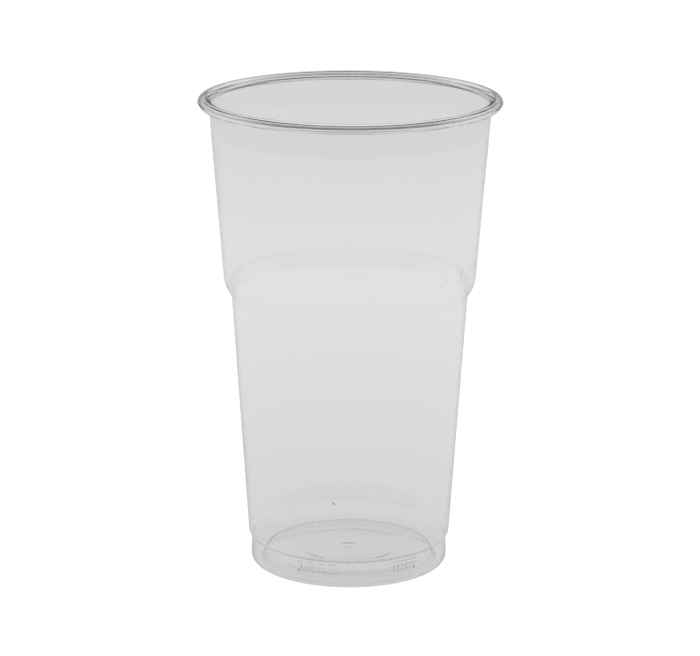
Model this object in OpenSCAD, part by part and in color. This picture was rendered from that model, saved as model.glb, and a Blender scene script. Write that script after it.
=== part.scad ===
// A clear plastic tumbler, made of one thin formed sheet. The sheet runs from the middle of the
// base panel, down into the ring that the cup stands on, up the foot, out over an undercut, up the
// lower cone, out over a stacking step, up the upper cone and round a rolled rim.
// Forming has stretched the sheet thin everywhere but at the rim.
// The origin is on the cup's axis, at the level of the surface that it stands on.

/* [Rim] */
// How far the roll stands out beyond the wall
roll_w = 3.3; // [3:0.1:5]
// Height of the roll, from its underside to the top of the cup
roll_h = 2.9; // [2.7:0.05:3.6]
// Thickness of the sheet over the top and outside of the roll
rim_wall = 0.9; // [0.6:0.05:1]
// Thickness of the sheet from the underside of the roll to its end
end_wall = 0.45; // [0.4:0.05:0.7]
// Depth under the top where the wall starts to thicken
thick_h = 11; // [6:0.5:20]
// Depth under the top where it thickens more steeply, into the roll
steep_h = 2.5; // [2.3:0.1:4]
// Thickness of the wall there
steep_wall = 0.65; // [0.4:0.05:0.8]
// How much lower the top of the roll is on its outside
top_drop = 0.2; // [0:0.05:0.3]
// Radius inside the roll, at the top next to the wall
roll_in_r = 1.05; // [0.6:0.05:1.1]
// Radius inside the roll, at the top on the outside
roll_out_r = 0.55; // [0.4:0.05:0.8]
// Radius inside the roll, at the bottom on the outside
roll_low_r = 0.3; // [0.2:0.05:0.4]
// Height that the sheet's end turns up inside the roll
tip_up = 0.8; // [0.6:0.05:1]
// Tight radius of the bend where it turns up
tip_r = 0.3; // [0.2:0.05:0.4]
// Gap between the sheet's end and the wall
tip_gap = 0.3; // [0.2:0.05:0.6]

/* [Wall] */
// Height of the cup
cup_h = 151; // [120:1:180]
// Outer diameter of the wall at the mouth, inside the roll
mouth_d = 88.4; // [84:0.4:96]
// Thickness of the sheet below the rim
wall = 0.3; // [0.25:0.05:0.4]
// Tight radius of the sheet's small bends
bend_r = 0.4; // [0.2:0.05:0.6]

/* [Stacking step] */
// Height of the corner at the foot of the step
step_z = 87.8; // [70:0.2:100]
// Outer diameter at that corner
step_d = 74.6; // [70:0.2:78]
// Height of the slope from that corner to the shoulder
slope_h = 3.9; // [3:0.1:6]
// How far the shoulder stands out beyond that corner
slope_out = 2.3; // [1.5:0.1:3]
// Outer radius of the rounded shoulder
shoulder_r = 8; // [2:0.5:10]

/* [Foot] */
// Outer diameter of the foot at the floor, before its edge is rounded
foot_d = 62.9; // [58:0.1:68]
// Height of the foot, from the floor to the undercut
foot_h = 8.8; // [7:0.1:14]
// How much narrower the foot is at the undercut, on each side
foot_lean = 0.3; // [0:0.05:0.6]
// Outer radius of the foot's bottom edge
foot_r = 2; // [1.5:0.1:2.3]
// How far the lower cone stands out over the foot
ledge_out = 1; // [0.8:0.05:2]
// Rise of the undercut's underside from the foot to the lower cone
ledge_rise = 0.8; // [0.2:0.05:1.2]
// Radius outside, where the foot meets the undercut
under_r = 0.6; // [0.3:0.05:0.8]
// Radius outside, where the undercut meets the lower cone
ledge_r = 1.2; // [0.6:0.1:1.6]

/* [Base] */
// Height of the base panel's upper face above the floor
panel_z = 3.8; // [3.6:0.1:5.4]
// Width of the standing ring, from the edge of the panel to the outside of the foot
ring_w = 4.4; // [4.2:0.1:10]
// Run of the sloping side between the panel and the ring
ring_slope = 0.5; // [0.3:0.1:0.6]
// Radius under the edge of the panel
panel_r = 2.2; // [0.4:0.1:2.4]
// Radius under the sheet, at the inner edge of the ring
ring_r = 1.2; // [0.6:0.1:1.4]
// Diameter of the sunk disc in the middle of the panel
disc_d = 30; // [20:0.5:36]
// Depth of that disc
disc_drop = 0.15; // [0.05:0.05:0.4]
// Diameter of the small pip in the centre
pip_d = 5; // [4:0.5:10]
// Height of the pip above the disc
pip_h = 0.15; // [0.05:0.05:0.4]
// Run of the small slopes around the disc and the pip
nick_run = 1.2; // [0.8:0.1:1.6]

/* [Hidden] */
$fn = 180;
// Largest turn between two points of a bend, in degrees
bend_step = 12;
mouth_r = mouth_d / 2;
rim_r = mouth_r + roll_w;
// The hollow inside the roll: its outer side, its bottom, and its top corner next to the wall,
// which is cut off by the rounding and so lies a little higher than the sloping top needs
hollow_r = rim_r - rim_wall;
hollow_foot = cup_h - roll_h + end_wall;
hollow_top = cup_h - rim_wall + top_drop * roll_in_r / (roll_w - rim_wall);
tip_side = mouth_r + tip_gap + end_wall;
// Radius, under the sheet, of a small bend whose tight side is inside the cup
inside_bend = bend_r + wall;
step_r = step_d / 2;
foot_side = foot_d / 2;
panel_side = foot_side - ring_w;
under = panel_z - wall;
sunk = under - disc_drop;
shoulder_side = step_r + slope_out;
shoulder_z = step_z + slope_h;

// The underside and outside of the sheet, from the axis to the sheet's end: the radius and
// height of each corner, the radius that rounds it, and the sheet's thickness there
corners = [
    [0, sunk + pip_h, 0, wall],
    [(pip_d - nick_run) / 2, sunk + pip_h, bend_r, wall],
    [(pip_d + nick_run) / 2, sunk, inside_bend, wall],
    [(disc_d - nick_run) / 2, sunk, inside_bend, wall],
    [(disc_d + nick_run) / 2, under, bend_r, wall],
    [panel_side, under, panel_r, wall],
    [panel_side + ring_slope, 0, ring_r, wall],
    [foot_side, 0, foot_r, wall],
    [foot_side - foot_lean, foot_h, under_r, wall],
    [foot_side - foot_lean + ledge_out, foot_h + ledge_rise, ledge_r, wall],
    [step_r, step_z, bend_r, wall],
    [shoulder_side, shoulder_z, shoulder_r, wall],
    [wall_side(cup_h - thick_h), cup_h - thick_h, 0, wall],
    [wall_side(cup_h - steep_h), cup_h - steep_h, 0, steep_wall],
    [mouth_r, hollow_top, roll_in_r, rim_wall],
    [hollow_r, hollow_top - top_drop, roll_out_r, rim_wall],
    [hollow_r, hollow_foot, roll_low_r, end_wall],
    [tip_side, hollow_foot, tip_r, end_wall],
    [tip_side, hollow_foot + tip_up, 0, end_wall]
];

// Outer radius of the upper wall at a height
function wall_side(z) =
    shoulder_side + (mouth_r - shoulder_side) * (z - shoulder_z) / (hollow_top - shoulder_z);

// Radius and height of a corner, without its rounding
function place(corner) = [corner[0], corner[1]];

// The direction from one corner to another, as a vector of length 1
function heading(from, to) = (place(to) - place(from)) / norm(place(to) - place(from));

// A vector turned by an angle, to the left where the angle is positive
function turned(v, angle) = [
    v[0] * cos(angle) - v[1] * sin(angle),
    v[0] * sin(angle) + v[1] * cos(angle)
];

// The angle from one direction to another, positive to the left
function turn(a, b) = atan2(a[0] * b[1] - a[1] * b[0], a[0] * b[0] + a[1] * b[1]);

// A corner without a bend, moved to the left of the way in by a share of the sheet's thickness
function plain(before, corner, to, share) =
    [place(to) + turned(heading(before, corner), 90) * to[3] * share];

// The points that round one corner, moved to the left in the same way
function bend(before, corner, after, share) =
    let (
        way_in = heading(before, corner),
        angle = turn(way_in, heading(corner, after)),
        side = sign(angle),
        radius = corner[2],
        start = place(corner) - way_in * radius * tan(abs(angle) / 2),
        centre = start + turned(way_in, 90) * side * radius,
        spoke = (start - centre) / radius * (radius - side * corner[3] * share),
        steps = ceil(abs(angle) / bend_step)
    )
    [for (i = [0 : steps]) centre + turned(spoke, angle * i / steps)];

// One face of the sheet, from the axis to the sheet's end: the outside where share is 0, and
// the inside where it is 1
function face(share) =
    let (last = len(corners) - 1)
    concat(
        plain(corners[0], corners[1], corners[0], share),
        [
            for (i = [1 : last - 1])
                each corners[i][2] == 0
                    ? plain(corners[i - 1], corners[i], corners[i], share)
                    : bend(corners[i - 1], corners[i], corners[i + 1], share)
        ],
        plain(corners[last - 1], corners[last], corners[last], share)
    );

// The same points in the opposite order
function backwards(points) = [for (i = [len(points) - 1 : -1 : 0]) points[i]];

// The whole cup: the sheet's section, turned once round the axis
module cup() {
    color([0.86, 0.86, 0.88, 0.45])
        rotate_extrude()
            polygon(concat(face(0), backwards(face(1))));
}

cup();
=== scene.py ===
"""Dresses a clear plastic tumbler for a studio picture.

The cup is one thin sheet. Both faces of its section are drawn with straight runs and spun bends, and
turned once round the axis; then two groups of small bars are raised on the front of its foot. The
stage holds the floor, the soft light and the camera.
"""

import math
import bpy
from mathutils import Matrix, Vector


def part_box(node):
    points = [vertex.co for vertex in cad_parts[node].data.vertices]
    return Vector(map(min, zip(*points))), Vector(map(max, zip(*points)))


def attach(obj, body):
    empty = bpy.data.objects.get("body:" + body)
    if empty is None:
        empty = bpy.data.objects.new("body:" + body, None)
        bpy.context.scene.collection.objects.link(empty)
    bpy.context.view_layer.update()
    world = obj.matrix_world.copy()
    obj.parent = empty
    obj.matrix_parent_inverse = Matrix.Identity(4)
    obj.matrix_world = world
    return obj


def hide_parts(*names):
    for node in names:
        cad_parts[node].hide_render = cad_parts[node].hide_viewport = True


bl_info = {
    "name": "Clear Plastic Tumbler",
    "version": (1, 0, 0),
    "blender": (4, 5, 0),
    "location": "View3D > Sidebar > Tumbler",
    "description": "Models a clear plastic tumbler with a rolled rim and sets it on a soft-lit stage",
    "category": "Object",
}

import bmesh
import bpy
from bpy.props import FloatProperty, FloatVectorProperty, IntProperty, PointerProperty
from mathutils import Matrix, Vector

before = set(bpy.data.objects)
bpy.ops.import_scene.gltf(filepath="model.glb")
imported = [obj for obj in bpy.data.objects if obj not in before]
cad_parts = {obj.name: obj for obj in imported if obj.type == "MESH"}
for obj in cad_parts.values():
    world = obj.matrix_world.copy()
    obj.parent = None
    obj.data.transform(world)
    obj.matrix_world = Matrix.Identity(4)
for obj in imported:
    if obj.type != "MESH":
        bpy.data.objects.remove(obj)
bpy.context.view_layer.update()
CUP_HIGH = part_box("cup")[1]

MM = 0.001


class TumblerSizes(bpy.types.PropertyGroup):
    """Sizes of the sheet's section, as on the real cup"""

    height: FloatProperty(
        name="Height", description="Height of the cup", default=CUP_HIGH[2], unit="LENGTH"
    )
    rim_radius: FloatProperty(
        name="Rim Radius", description="Radius over the roll", default=CUP_HIGH[0], unit="LENGTH"
    )
    wall: FloatProperty(
        name="Wall", description="Thickness of the sheet below the rim", default=0.3 * MM,
        unit="LENGTH"
    )
    tight_bend: FloatProperty(
        name="Tight Bend", description="Radius on the tight side of a small bend", default=0.4 * MM,
        unit="LENGTH"
    )
    roll_width: FloatProperty(
        name="Roll Width", description="How far the roll stands out beyond the wall",
        default=3.3 * MM, unit="LENGTH"
    )
    roll_height: FloatProperty(
        name="Roll Height", description="Height of the roll", default=2.9 * MM, unit="LENGTH"
    )
    rim_wall: FloatProperty(
        name="Rim Wall", description="Thickness of the sheet over the top and outside of the roll",
        default=0.9 * MM, unit="LENGTH"
    )
    end_wall: FloatProperty(
        name="End Wall", description="Thickness of the sheet under the roll", default=0.45 * MM,
        unit="LENGTH"
    )
    thick_depth: FloatProperty(
        name="Thick Depth", description="Depth under the top where the wall starts to thicken",
        default=11 * MM, unit="LENGTH"
    )
    steep_depth: FloatProperty(
        name="Steep Depth", description="Depth under the top where it thickens more steeply",
        default=2.5 * MM, unit="LENGTH"
    )
    steep_wall: FloatProperty(
        name="Steep Wall", description="Thickness of the wall there", default=0.65 * MM,
        unit="LENGTH"
    )
    top_drop: FloatProperty(
        name="Top Drop", description="How much lower the roll's top is on its outside",
        default=0.2 * MM, unit="LENGTH"
    )
    roll_in_bend: FloatProperty(
        name="Roll Inner Bend", description="Radius inside the roll next to the wall",
        default=1.05 * MM, unit="LENGTH"
    )
    roll_out_bend: FloatProperty(
        name="Roll Outer Bend", description="Radius inside the roll at the top outside",
        default=0.55 * MM, unit="LENGTH"
    )
    roll_low_bend: FloatProperty(
        name="Roll Lower Bend", description="Radius inside the roll at its bottom",
        default=0.3 * MM, unit="LENGTH"
    )
    tip_bend: FloatProperty(
        name="Tip Bend", description="Tight radius where the sheet's end turns up",
        default=0.3 * MM, unit="LENGTH"
    )
    tip_gap: FloatProperty(
        name="Tip Gap", description="Gap between the sheet's end and the wall", default=0.3 * MM,
        unit="LENGTH"
    )
    tip_up: FloatProperty(
        name="Tip Turn-up", description="Height that the sheet's end turns up", default=0.8 * MM,
        unit="LENGTH"
    )
    step_height: FloatProperty(
        name="Step Height", description="Height of the corner at the foot of the step",
        default=87.8 * MM, unit="LENGTH"
    )
    step_radius: FloatProperty(
        name="Step Radius", description="Outer radius at that corner", default=37.3 * MM,
        unit="LENGTH"
    )
    slope_height: FloatProperty(
        name="Slope Height", description="Height of the slope up to the shoulder", default=3.9 * MM,
        unit="LENGTH"
    )
    slope_out: FloatProperty(
        name="Slope Reach", description="How far the shoulder stands out", default=2.3 * MM,
        unit="LENGTH"
    )
    shoulder_bend: FloatProperty(
        name="Shoulder Bend", description="Outer radius of the rounded shoulder", default=8 * MM,
        unit="LENGTH"
    )
    foot_radius: FloatProperty(
        name="Foot Radius", description="Outer radius of the foot at the floor", default=31.45 * MM,
        unit="LENGTH"
    )
    foot_height: FloatProperty(
        name="Foot Height", description="Height from the floor to the undercut", default=8.8 * MM,
        unit="LENGTH"
    )
    foot_lean: FloatProperty(
        name="Foot Lean", description="How much narrower the foot is at the undercut",
        default=0.3 * MM, unit="LENGTH"
    )
    foot_bend: FloatProperty(
        name="Foot Bend", description="Outer radius of the foot's bottom edge", default=2 * MM,
        unit="LENGTH"
    )
    ledge_out: FloatProperty(
        name="Ledge Reach", description="How far the lower cone stands out over the foot",
        default=1 * MM, unit="LENGTH"
    )
    ledge_rise: FloatProperty(
        name="Ledge Rise", description="Rise of the undercut's underside", default=0.8 * MM,
        unit="LENGTH"
    )
    under_bend: FloatProperty(
        name="Undercut Bend", description="Radius outside, where the foot meets the undercut",
        default=0.6 * MM, unit="LENGTH"
    )
    ledge_bend: FloatProperty(
        name="Ledge Bend", description="Radius outside, where the undercut meets the lower cone",
        default=1.2 * MM, unit="LENGTH"
    )
    panel_height: FloatProperty(
        name="Panel Height", description="Height of the base panel's upper face", default=3.8 * MM,
        unit="LENGTH"
    )
    ring_width: FloatProperty(
        name="Ring Width", description="From the panel's edge to the outside of the foot",
        default=4.4 * MM, unit="LENGTH"
    )
    ring_slope: FloatProperty(
        name="Ring Slope", description="Run of the slope from the panel down to the ring",
        default=0.5 * MM, unit="LENGTH"
    )
    panel_bend: FloatProperty(
        name="Panel Bend", description="Radius under the panel's edge", default=2.2 * MM,
        unit="LENGTH"
    )
    ring_bend: FloatProperty(
        name="Ring Bend", description="Radius under the sheet, at the standing ring's inner edge",
        default=1.2 * MM, unit="LENGTH"
    )
    disc_radius: FloatProperty(
        name="Disc Radius", description="Radius of the sunk disc in the panel", default=15 * MM,
        unit="LENGTH"
    )
    disc_drop: FloatProperty(
        name="Disc Drop", description="Depth of that disc", default=0.15 * MM, unit="LENGTH"
    )
    pip_radius: FloatProperty(
        name="Pip Radius", description="Radius of the small pip in the centre", default=2.5 * MM,
        unit="LENGTH"
    )
    pip_rise: FloatProperty(
        name="Pip Rise", description="Height of the pip above the disc", default=0.15 * MM,
        unit="LENGTH"
    )
    nick_run: FloatProperty(
        name="Nick Run", description="Run of the slopes around the disc and the pip",
        default=1.2 * MM, unit="LENGTH"
    )
    mark_rise: FloatProperty(
        name="Mark Rise", description="How far the raised bars on the foot stand out",
        default=0.25 * MM, unit="LENGTH"
    )
    turn_steps: IntProperty(
        name="Turn Steps", description="Faces once round the axis", default=256, min=16
    )


class PlasticLook(bpy.types.PropertyGroup):
    """Finish of the clear plastic"""

    tint: FloatVectorProperty(
        name="Tint", description="Colour of light that has passed through the sheet",
        subtype="COLOR", size=3, min=0, max=1, default=(0.9615, 0.96, 0.963)
    )
    haze: FloatProperty(
        name="Haze", description="Roughness of the wall and rim", default=0.045, min=0, max=1
    )
    foot_haze: FloatProperty(
        name="Foot Haze", description="Roughness of the base, where the mould's texture shows",
        default=0.085, min=0, max=1
    )
    clear_height: FloatProperty(
        name="Clear Height", description="Height at which the base's haze has cleared",
        default=9 * MM, unit="LENGTH"
    )
    haze_spread: FloatProperty(
        name="Haze Spread", description="Share by which the haze varies in patches", default=0.3,
        min=0, max=1
    )
    ripple_height: FloatProperty(
        name="Ripple Height", description="Height of the faint upright ripples in the wall",
        default=0.01 * MM, unit="LENGTH"
    )
    index: FloatProperty(name="Index", description="Refractive index", default=1.49, min=1)


class MarksLook(bpy.types.PropertyGroup):
    """Small flecks and a scratch on the sheet"""

    fleck_colour: FloatVectorProperty(
        name="Fleck Colour", description="Colour of the flecks", subtype="COLOR", size=3, min=0,
        max=1, default=(0.3, 0.29, 0.28)
    )
    scratch_colour: FloatVectorProperty(
        name="Scratch Colour", description="Colour of the scratch", subtype="COLOR", size=3, min=0,
        max=1, default=(0.45, 0.43, 0.46)
    )
    thickness: FloatProperty(
        name="Thickness", description="Thickness of each mark", default=0.06 * MM, unit="LENGTH"
    )


class StageLook(bpy.types.PropertyGroup):
    """Floor, light and camera"""

    floor_radius: FloatProperty(
        name="Floor Radius", description="Radius of the floor", default=12, unit="LENGTH"
    )
    shown: FloatProperty(
        name="Shown", description="Brightness of the floor and the surroundings as seen directly",
        default=1.06
    )
    # Painted light: the floor's tone as seen in or through the plastic, at the brightest part of its
    # painted pool of light
    painted_pool_tone: FloatVectorProperty(
        name="Floor Tone",
        description="Light from the floor as seen in or through the plastic, where it is brightest",
        subtype="COLOR", size=3, default=(0.805, 0.8035, 0.8095)
    )
    floor_steps: FloatVectorProperty(
        name="Floor Steps", description="Distances at which the floor's tone is given", size=6,
        default=(0.03, 0.045, 0.35, 0.8, 2, 4), unit="LENGTH"
    )
    # Painted light and shade on the floor as seen in or through the plastic: a painted shadow round
    # the cup's foot, darkest up to 0.03 m out, a painted pool of light brightest about 0.35 m out,
    # and a slow fall-off beyond
    painted_pool_and_shadow_shares: FloatVectorProperty(
        name="Floor Shares", description="Share of the floor's tone at each of those distances",
        size=6, default=(0.79, 0.9, 1.02, 0.895, 0.88, 0.6)
    )
    low_tone: FloatProperty(
        name="Low Tone", description="Brightness at the horizon behind the cup", default=0.03
    )
    screen_tone: FloatProperty(
        name="Screen Tone", description="Brightness of the broad soft light behind the cup",
        default=0.8
    )
    screen_low: FloatProperty(
        name="Screen Low", description="Angle over the horizon of that light's lower edge",
        default=math.radians(12), subtype="ANGLE"
    )
    screen_high: FloatProperty(
        name="Screen High", description="Angle over the horizon of that light's upper edge",
        default=math.radians(45), subtype="ANGLE"
    )
    screen_edge: FloatProperty(
        name="Screen Edge", description="Angle over which each edge fades", default=math.radians(6),
        subtype="ANGLE"
    )
    front_tone: FloatProperty(
        name="Front Tone", description="Brightness low down on the camera's side", default=0.25
    )
    front_high: FloatProperty(
        name="Front High",
        description="Angle over the horizon up to which the camera's side is lit",
        default=math.radians(55), subtype="ANGLE"
    )
    side_tone: FloatProperty(
        name="Side Tone", description="Brightness at the horizon to either side", default=0.37
    )
    dark_tone: FloatProperty(
        name="Dark Tone", description="Brightness of the rest of the room", default=0.04
    )
    camera_distance: FloatProperty(
        name="Camera Distance", description="From the cup's axis, along the floor", default=0.9,
        unit="LENGTH"
    )
    camera_height: FloatProperty(
        name="Camera Height", description="Above the floor", default=0.3188, unit="LENGTH"
    )
    camera_side: FloatProperty(
        name="Camera Side", description="Sideways place of the camera", default=0.15 * MM,
        unit="LENGTH"
    )
    camera_pitch: FloatProperty(
        name="Camera Pitch", description="Downward tilt", default=math.radians(15.073),
        subtype="ANGLE"
    )
    camera_roll: FloatProperty(
        name="Camera Roll", description="Tilt about the view's axis", default=math.radians(0.2176),
        subtype="ANGLE"
    )
    lens: FloatProperty(name="Lens", description="Focal length, in millimetres", default=151.15)


def section_corners(s):
    """Corners of the sheet's outside line, from the axis to the sheet's end.

    Each corner gives its radius, its height, the radius of its bend and the sheet's thickness there.
    """
    mouth = s.rim_radius - s.roll_width
    wide_bend = s.tight_bend + s.wall
    under = s.panel_height - s.wall
    sunk = under - s.disc_drop
    panel = s.foot_radius - s.ring_width
    undercut = s.foot_radius - s.foot_lean
    half_nick = s.nick_run / 2
    thin = [
        (0, sunk + s.pip_rise, 0),
        (s.pip_radius - half_nick, sunk + s.pip_rise, s.tight_bend),
        (s.pip_radius + half_nick, sunk, wide_bend),
        (s.disc_radius - half_nick, sunk, wide_bend),
        (s.disc_radius + half_nick, under, s.tight_bend),
        (panel, under, s.panel_bend),
        (panel + s.ring_slope, 0, s.ring_bend),
        (s.foot_radius, 0, s.foot_bend),
        (undercut, s.foot_height, s.under_bend),
        (undercut + s.ledge_out, s.foot_height + s.ledge_rise, s.ledge_bend),
        (s.step_radius, s.step_height, s.tight_bend),
        (s.step_radius + s.slope_out, s.step_height + s.slope_height, s.shoulder_bend),
    ]
    side = s.rim_radius - s.rim_wall
    foot = s.height - s.roll_height + s.end_wall
    top = s.height - s.rim_wall + s.top_drop * s.roll_in_bend / (s.roll_width - s.rim_wall)
    tip = mouth + s.tip_gap + s.end_wall
    shoulder, roll = Vector(thin[-1][:2]), Vector((mouth, top))
    depth = top - shoulder.y
    thicker = shoulder.lerp(roll, (s.height - s.thick_depth - shoulder.y) / depth)
    steeper = shoulder.lerp(roll, (s.height - s.steep_depth - shoulder.y) / depth)
    return [(*corner, s.wall) for corner in thin] + [
        (*thicker, 0, s.wall),
        (*steeper, 0, s.steep_wall),
        (mouth, top, s.roll_in_bend, s.rim_wall),
        (side, top - s.top_drop, s.roll_out_bend, s.rim_wall),
        (side, foot, s.roll_low_bend, s.end_wall),
        (tip, foot, s.tip_bend, s.end_wall),
        (tip, foot + s.tip_up, 0, s.end_wall),
    ]


# Longest face along a straight run of the section, and the short face at either end of a run
RUN_STEP = 6 * MM
LEAD = 0.12 * MM
# Largest turn between two points of a bend, and the least angle of an edge that isn't shaded smooth
BEND_STEP = math.radians(12)
SHARP = math.radians(40)
# Distance under which two points become one
MERGE = 0.001 * MM
# Heights of the rows of raised bars on the foot. The two groups' steps round the foot are counted
# from its front, and gaps break up each row.
BAR_ROWS = ((4.4 * MM, 5.2 * MM), (5.7 * MM, 6.5 * MM), (7 * MM, 7.8 * MM))
WIDE_GROUP, NARROW_GROUP = range(-22, -4), range(19, 31)
BAR_STEPS = (
    [i for i in WIDE_GROUP if i % 3] + [i for i in NARROW_GROUP if i % 2],
    [i for i in WIDE_GROUP if i % 2] + [i for i in NARROW_GROUP if i % 4],
    [i for i in WIDE_GROUP if i % 5 > 1] + [i for i in NARROW_GROUP if i % 3],
)
# Azimuth from the front, height, whether on the inside face, width, length and tilt of each mark
FLECKS = (
    (math.radians(-170.6), 7.6 * MM, True, 0.4 * MM, 1.2 * MM, math.radians(55)),
    (math.radians(47.7), 98.4 * MM, False, 0.25 * MM, 0.45 * MM, math.radians(20)),
    (math.radians(44.8), 97 * MM, False, 0.2 * MM, 0.3 * MM, math.radians(-30)),
    (math.radians(130.9), 149.4 * MM, True, 0.35 * MM, 0.6 * MM, math.radians(40)),
)
SCRATCHES = (
    (math.radians(59.2), 99.8 * MM, False, 0.16 * MM, 4.2 * MM, math.radians(2)),
)
MARK_SUBDIVISIONS = 2
# Scale, stretch and range of the noise that makes the haze patchy
PATCH_SCALE, PATCH_STRETCH, PATCH_RANGE = 70, (1, 1, 0.5), (0.35, 0.65)
# Scale and stretch of the noise for the wall's upright ripples
RIPPLE_SCALE, RIPPLE_STRETCH = 160, (1, 1, 0.06)
# Scale and range of the noise in the flecks' and the scratch's tone, and how much paler it gets
DUST_SCALE, DUST_RANGE, DUST_PALER, DUST_ROUGHNESS = 2500, (0.3, 0.7), 1.6, 0.8
NOISE_DETAIL = 2
# Shares of a direction's Y from which the camera's side gives way to the light behind the cup, and
# of its X from which the dark horizon behind the cup gives way to the sides' tone
FRONT_FADE = (-0.3, 0.1)
SIDE_FADE = (0.01, 0.06)
FLOOR_SIDES = 128
SENSOR_WIDTH = 36
VIEW_REACH = 100
# How often light passes or turns in the sheet before it is given up
BOUNCES = 32


def draw_straight(bm, tip, end):
    """Draws on from the line's tip to end, with a short face at either end. Returns the new tip."""
    start = tip.co.copy()
    length = (end - start).length
    along = (end - start).normalized()
    stops = []
    if length > 3 * LEAD:
        count = math.ceil((length - 2 * LEAD) / RUN_STEP)
        stops = [LEAD + (length - 2 * LEAD) * i / count for i in range(count + 1)]
    for stop in stops + [length]:
        new = bmesh.ops.extrude_vert_indiv(bm, verts=[tip])["verts"][0]
        bmesh.ops.translate(bm, verts=[new], vec=start + along * stop - tip.co)
        tip = new
    return tip


def draw_face(bm, corners, share):
    """Draws one face of the sheet in the XZ plane, from the axis to the sheet's end.

    The face lies to the left of the corners' line by a share of the sheet's thickness, and each bend
    is spun. Returns the face's end.
    """
    points = [Vector((radius, 0, height)) for radius, height, _, _ in corners]
    ways = [(after - before).normalized() for before, after in zip(points, points[1:])]
    rights = [Vector((way.z, 0, -way.x)) for way in ways]
    tip = bm.verts.new(points[0] - rights[0] * corners[0][3] * share)
    for index in range(1, len(corners) - 1):
        bend, thickness = corners[index][2:]
        way_in, way_out, right = ways[index - 1], ways[index], rights[index - 1]
        inset = right * thickness * share
        if bend == 0:
            tip = draw_straight(bm, tip, points[index] - inset)
            continue
        turn = way_in.angle(way_out)
        side = 1 if way_in.cross(way_out).y > 0 else -1
        start = points[index] - way_in * bend * math.tan(turn / 2)
        tip = draw_straight(bm, tip, start - inset)
        arc = bmesh.ops.spin(
            bm, geom=[tip], cent=start + right * side * bend, axis=(0, 1, 0), angle=side * turn,
            steps=math.ceil(turn / BEND_STEP), use_duplicate=False
        )
        tip = arc["geom_last"][0]
    return draw_straight(bm, tip, points[-1] - rights[-1] * corners[-1][3] * share)


def raise_bars(bm, s):
    """Raises two groups of small plain bars on the front of the foot."""
    def on_foot(face):
        heights = [vert.co.z for vert in face.verts]
        beside = max(heights) > BAR_ROWS[0][0] and min(heights) < BAR_ROWS[-1][1]
        return beside and face.normal.xy.dot(face.verts[0].co.xy) > 0

    for height in [edge for row in BAR_ROWS for edge in row]:
        faces = [face for face in bm.faces if on_foot(face)]
        edges = {edge for face in faces for edge in face.edges}
        bmesh.ops.bisect_plane(
            bm, geom=faces + list(edges), plane_co=(0, 0, height), plane_no=(0, 0, 1)
        )
        bm.normal_update()

    def in_a_bar(face):
        place = face.calc_center_median()
        row = next((i for i, (low, high) in enumerate(BAR_ROWS) if low < place.z < high), None)
        if row is None or not on_foot(face):
            return False
        step = math.floor(math.atan2(place.x, -place.y) / math.tau * s.turn_steps)
        return step in BAR_STEPS[row]

    bars = [face for face in bm.faces if in_a_bar(face)]
    raised = bmesh.ops.extrude_face_region(bm, geom=bars)["geom"]
    bmesh.ops.delete(bm, geom=bars, context="FACES")
    growth = 1 + s.mark_rise / s.foot_radius
    tops = [part for part in raised if isinstance(part, bmesh.types.BMVert)]
    bmesh.ops.scale(bm, vec=(growth, growth, 1), verts=tops)
    if not raised or not all(edge.is_manifold for edge in bm.edges):
        raise RuntimeError("the raised bars left the cup's sheet open")


def finished_piece(bm, name, material, smooth=True):
    """Makes an object of the mesh, shades it smooth and gives it its material."""
    mesh = bpy.data.meshes.new(name)
    bm.to_mesh(mesh)
    bm.free()
    mesh.materials.append(material)
    if smooth:
        mesh.shade_smooth()
        mesh.set_sharp_from_angle(angle=SHARP)
    piece = bpy.data.objects.new(name, mesh)
    bpy.context.collection.objects.link(piece)
    return piece


def mapped(tree, value, start, end, low, high):
    """Maps a value between start and end smoothly onto low to high."""
    node = tree.nodes.new("ShaderNodeMapRange")
    node.interpolation_type = "SMOOTHSTEP"
    for name, number in zip(("From Min", "From Max", "To Min", "To Max"), (start, end, low, high)):
        node.inputs[name].default_value = number
    tree.links.new(value, node.inputs["Value"])
    return node.outputs["Result"]


def noise(tree, place, stretch, scale):
    """Noise over the object, with its three directions stretched."""
    squeeze = tree.nodes.new("ShaderNodeMapping")
    squeeze.inputs["Scale"].default_value = stretch
    tree.links.new(place, squeeze.inputs["Vector"])
    node = tree.nodes.new("ShaderNodeTexNoise")
    node.inputs["Scale"].default_value = scale
    node.inputs["Detail"].default_value = NOISE_DETAIL
    tree.links.new(squeeze.outputs["Vector"], node.inputs["Vector"])
    return node.outputs["Fac"]


def clear_plastic(look):
    """Clear sheet with a faint patchy haze, stronger at the base, and upright forming ripples."""
    material = bpy.data.materials.new("clear_plastic")
    material.use_nodes = True
    tree = material.node_tree
    shader = tree.nodes["Principled BSDF"]
    shader.inputs["Base Color"].default_value = (*look.tint, 1)
    shader.inputs["IOR"].default_value = look.index
    shader.inputs["Transmission Weight"].default_value = 1
    place = tree.nodes.new("ShaderNodeTexCoord").outputs["Object"]
    parts = tree.nodes.new("ShaderNodeSeparateXYZ")
    tree.links.new(place, parts.inputs[0])
    base_haze = mapped(
        tree, parts.outputs["Z"], 0, look.clear_height, look.foot_haze, look.haze
    )
    patches = noise(tree, place, PATCH_STRETCH, PATCH_SCALE)
    spread = mapped(tree, patches, *PATCH_RANGE, 1 - look.haze_spread, 1 + look.haze_spread)
    haze = tree.nodes.new("ShaderNodeMath")
    haze.operation = "MULTIPLY"
    tree.links.new(base_haze, haze.inputs[0])
    tree.links.new(spread, haze.inputs[1])
    tree.links.new(haze.outputs["Value"], shader.inputs["Roughness"])
    bump = tree.nodes.new("ShaderNodeBump")
    bump.inputs["Distance"].default_value = look.ripple_height
    tree.links.new(noise(tree, place, RIPPLE_STRETCH, RIPPLE_SCALE), bump.inputs["Height"])
    tree.links.new(bump.outputs["Normal"], shader.inputs["Normal"])
    return material


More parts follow.
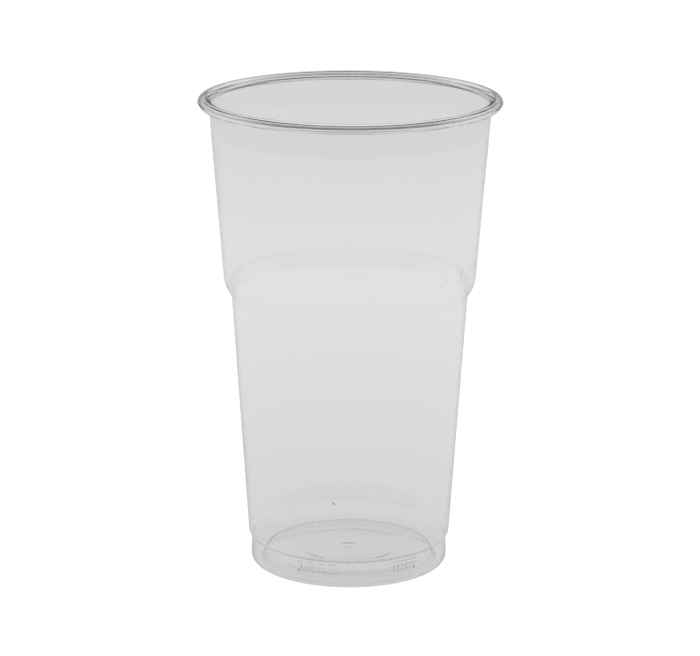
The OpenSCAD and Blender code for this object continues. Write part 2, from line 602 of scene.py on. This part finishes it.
def mixed(tree, factor, first, second):
    """Mixes two colours, each of them either a node's output or a plain colour."""
    node = tree.nodes.new("ShaderNodeMix")
    node.data_type = "RGBA"
    tree.links.new(factor, node.inputs["Factor"])
    for socket, colour in (("A", first), ("B", second)):
        if isinstance(colour, bpy.types.NodeSocket):
            tree.links.new(colour, node.inputs[socket])
        else:
            node.inputs[socket].default_value = colour
    return node.outputs["Result"]


def shown_or_through(tree, look, through, shader):
    """Lights a shader with one brightness as seen directly, and another in or through the plastic."""
    direct = tree.nodes.new("ShaderNodeLightPath").outputs["Is Camera Ray"]
    tree.links.new(mixed(tree, direct, through, (look.shown, look.shown, look.shown, 1)), shader)


def tone_steps(tree, value, stops, reach=None):
    """Turns a value from 0 to 1 into grey tones, given at steps up to reach or to the last one."""
    reach = reach or stops[-1][0]
    ramp = tree.nodes.new("ShaderNodeValToRGB")
    while len(ramp.color_ramp.elements) < len(stops):
        ramp.color_ramp.elements.new(1)
    for element, (step, tone) in zip(ramp.color_ramp.elements, stops):
        element.position = step / reach
        element.color = (tone, tone, tone, 1)
    tree.links.new(value, ramp.inputs["Fac"])
    return ramp.outputs["Color"]


def painted_pool_floor(look):
    """Pale floor that gives off a light of its own: even as seen directly, and as seen in or through
    the plastic a painted pool of light with a painted shadow round the cup's foot, which changes
    slowly with distance.
    """
    material = bpy.data.materials.new("painted_pool_floor")
    material.use_nodes = True
    tree = material.node_tree
    shader = tree.nodes["Principled BSDF"]
    shader.inputs["Base Color"].default_value = (0, 0, 0, 1)
    shader.inputs["Specular IOR Level"].default_value = 0
    shader.inputs["Emission Strength"].default_value = 1
    place = tree.nodes.new("ShaderNodeTexCoord")
    reach = tree.nodes.new("ShaderNodeVectorMath")
    reach.operation = "LENGTH"
    tree.links.new(place.outputs["Object"], reach.inputs[0])
    distance = tree.nodes.new("ShaderNodeMath")
    distance.operation = "DIVIDE"
    distance.inputs[1].default_value = look.floor_steps[-1]
    tree.links.new(reach.outputs["Value"], distance.inputs[0])
    # Painted shadow round the cup's foot and a painted pool of light farther out, as tones by
    # distance from the floor's centre under the cup
    painted_pool_and_shadow = tone_steps(tree, distance.outputs["Value"], list(zip(look.floor_steps, look.painted_pool_and_shadow_shares)))
    tone = tree.nodes.new("ShaderNodeVectorMath")
    tone.operation = "SCALE"
    tone.inputs[0].default_value = look.painted_pool_tone
    tree.links.new(painted_pool_and_shadow, tone.inputs["Scale"])
    shown_or_through(tree, look, tone.outputs["Vector"], shader.inputs["Emission Color"])
    return material


def soft_room(look):
    """A dark room with a broad soft light behind the cup, and a weak one on the camera's side."""
    world = bpy.data.worlds.new("soft_room")
    world.use_nodes = True
    tree = world.node_tree
    way = tree.nodes.new("ShaderNodeTexCoord")
    parts = tree.nodes.new("ShaderNodeSeparateXYZ")
    tree.links.new(way.outputs["Generated"], parts.inputs[0])
    rise = parts.outputs["Z"]
    half_edge = look.screen_edge / 2

    def screen(low_tone):
        return tone_steps(tree, rise, [
            (math.sin(look.screen_low - half_edge), low_tone),
            (math.sin(look.screen_low + half_edge), look.screen_tone),
            (math.sin(look.screen_high - half_edge), look.screen_tone),
            (math.sin(look.screen_high + half_edge), look.dark_tone),
        ], 1)

    front = tone_steps(tree, rise, [
        (math.sin(look.front_high - half_edge), look.front_tone),
        (math.sin(look.front_high + half_edge), look.dark_tone),
    ], 1)
    turned = mapped(tree, parts.outputs["Y"], *FRONT_FADE, 0, 1)
    sideways = tree.nodes.new("ShaderNodeMath")
    sideways.operation = "ABSOLUTE"
    tree.links.new(parts.outputs["X"], sideways.inputs[0])
    aside = mapped(tree, sideways.outputs["Value"], *SIDE_FADE, 0, 1)
    behind = mixed(tree, aside, screen(look.low_tone), screen(look.side_tone))
    room = mixed(tree, turned, front, behind)
    shown_or_through(tree, look, room, tree.nodes["Background"].inputs["Color"])
    return world


class TUMBLER_OT_cup(bpy.types.Operator):
    """Model the cup's sheet from its section"""

    bl_idname = "tumbler.cup"
    bl_label = "Cup"

    def execute(self, context):
        sizes = context.scene.tumbler_sizes
        corners = section_corners(sizes)
        bm = bmesh.new()
        draw_straight(bm, draw_face(bm, corners, 0), draw_face(bm, corners, 1).co)
        bmesh.ops.spin(
            bm, geom=bm.verts[:] + bm.edges[:], cent=(0, 0, 0), axis=(0, 0, 1), angle=math.tau,
            steps=sizes.turn_steps, use_merge=True, use_duplicate=False
        )
        bmesh.ops.remove_doubles(bm, verts=bm.verts[:], dist=MERGE)
        bmesh.ops.recalc_face_normals(bm, faces=bm.faces[:])
        raise_bars(bm, sizes)
        cup = finished_piece(bm, "tumbler", clear_plastic(context.scene.plastic_look))
        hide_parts("cup")
        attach(cup, "root")
        return {"FINISHED"}


def wall_radius(corners, height, inside):
    """Radius of the wall's outside or inside face at a height above the foot."""
    for low, high in zip(corners, corners[1:]):
        if low[1] < height <= high[1]:
            share = (height - low[1]) / (high[1] - low[1])
            thickness = low[3] + (high[3] - low[3]) * share
            return low[0] + (high[0] - low[0]) * share - (thickness if inside else 0)
    raise RuntimeError("no wall at that height")


def dusty(name, colour):
    """Dull material with a patchy tone."""
    material = bpy.data.materials.new(name)
    material.use_nodes = True
    tree = material.node_tree
    shader = tree.nodes["Principled BSDF"]
    shader.inputs["Roughness"].default_value = DUST_ROUGHNESS
    place = tree.nodes.new("ShaderNodeTexCoord").outputs["Object"]
    patches = mapped(tree, noise(tree, place, (1, 1, 1), DUST_SCALE), *DUST_RANGE, 0, 1)
    paler = (*(min(1, DUST_PALER * part) for part in colour), 1)
    tree.links.new(mixed(tree, patches, (*colour, 1), paler), shader.inputs["Base Color"])
    return material


class TUMBLER_OT_marks(bpy.types.Operator):
    """Add the small flecks and the scratch that the cup bears"""

    bl_idname = "tumbler.marks"
    bl_label = "Flecks and Scratch"

    def execute(self, context):
        corners = section_corners(context.scene.tumbler_sizes)
        look = context.scene.marks_look
        for name, colour, marks in (
            ("flecks", look.fleck_colour, FLECKS), ("scratch", look.scratch_colour, SCRATCHES)
        ):
            bm = bmesh.new()
            for azimuth, height, inside, width, length, tilt in marks:
                out = wall_radius(corners, height, inside)
                flat = Matrix.Diagonal((width / 2, look.thickness / 2, length / 2, 1))
                spot = Matrix.Rotation(azimuth, 4, "Z") @ Matrix.Translation((0, -out, height))
                bmesh.ops.create_icosphere(
                    bm, subdivisions=MARK_SUBDIVISIONS, radius=1,
                    matrix=spot @ Matrix.Rotation(tilt, 4, "Y") @ flat
                )
            piece = finished_piece(bm, name, dusty(name, colour))
            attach(piece, "root")
        return {"FINISHED"}


class TUMBLER_OT_stage(bpy.types.Operator):
    """Set the floor, the soft light and the camera"""

    bl_idname = "tumbler.stage"
    bl_label = "Stage"

    def execute(self, context):
        look = context.scene.stage_look
        bm = bmesh.new()
        bmesh.ops.create_circle(
            bm, cap_ends=True, segments=FLOOR_SIDES, radius=look.floor_radius
        )
        finished_piece(bm, "floor", painted_pool_floor(look), smooth=False)
        context.scene.world = soft_room(look)

        camera = bpy.data.objects.new("camera", bpy.data.cameras.new("camera"))
        camera.data.sensor_width = SENSOR_WIDTH
        camera.data.lens = look.lens
        camera.data.clip_end = VIEW_REACH
        place = Matrix.Translation((look.camera_side, -look.camera_distance, look.camera_height))
        tilt = Matrix.Rotation(math.pi / 2 - look.camera_pitch, 4, "X")
        roll = Matrix.Rotation(look.camera_roll, 4, "Z")
        camera.matrix_world = place @ tilt @ roll
        context.collection.objects.link(camera)
        context.scene.camera = camera
        context.scene.view_settings.view_transform = "Standard"
        context.scene.cycles.blur_glossy = 0
        context.scene.cycles.max_bounces = BOUNCES
        context.scene.cycles.transmission_bounces = BOUNCES
        return {"FINISHED"}


class TUMBLER_PT_panel(bpy.types.Panel):
    """Lists the tumbler's pieces"""

    bl_label = "Tumbler"
    bl_idname = "TUMBLER_PT_panel"
    bl_space_type = "VIEW_3D"
    bl_region_type = "UI"
    bl_category = "Tumbler"

    def draw(self, context):
        for operator in OPERATORS:
            self.layout.operator(operator.bl_idname)


OPERATORS = (TUMBLER_OT_cup, TUMBLER_OT_marks, TUMBLER_OT_stage)
GROUPS = {
    "tumbler_sizes": TumblerSizes,
    "plastic_look": PlasticLook,
    "marks_look": MarksLook,
    "stage_look": StageLook,
}


def register():
    for group in GROUPS.values():
        bpy.utils.register_class(group)
    for operator in OPERATORS:
        bpy.utils.register_class(operator)
    bpy.utils.register_class(TUMBLER_PT_panel)
    for name, group in GROUPS.items():
        setattr(bpy.types.Scene, name, PointerProperty(type=group))


def unregister():
    for name in GROUPS:
        delattr(bpy.types.Scene, name)
    bpy.utils.unregister_class(TUMBLER_PT_panel)
    for operator in reversed(OPERATORS):
        bpy.utils.unregister_class(operator)
    for group in reversed(GROUPS.values()):
        bpy.utils.unregister_class(group)


def main():
    register()
    bpy.ops.tumbler.cup()
    bpy.ops.tumbler.marks()
    bpy.ops.tumbler.stage()


if __name__ == "__main__":
    main()
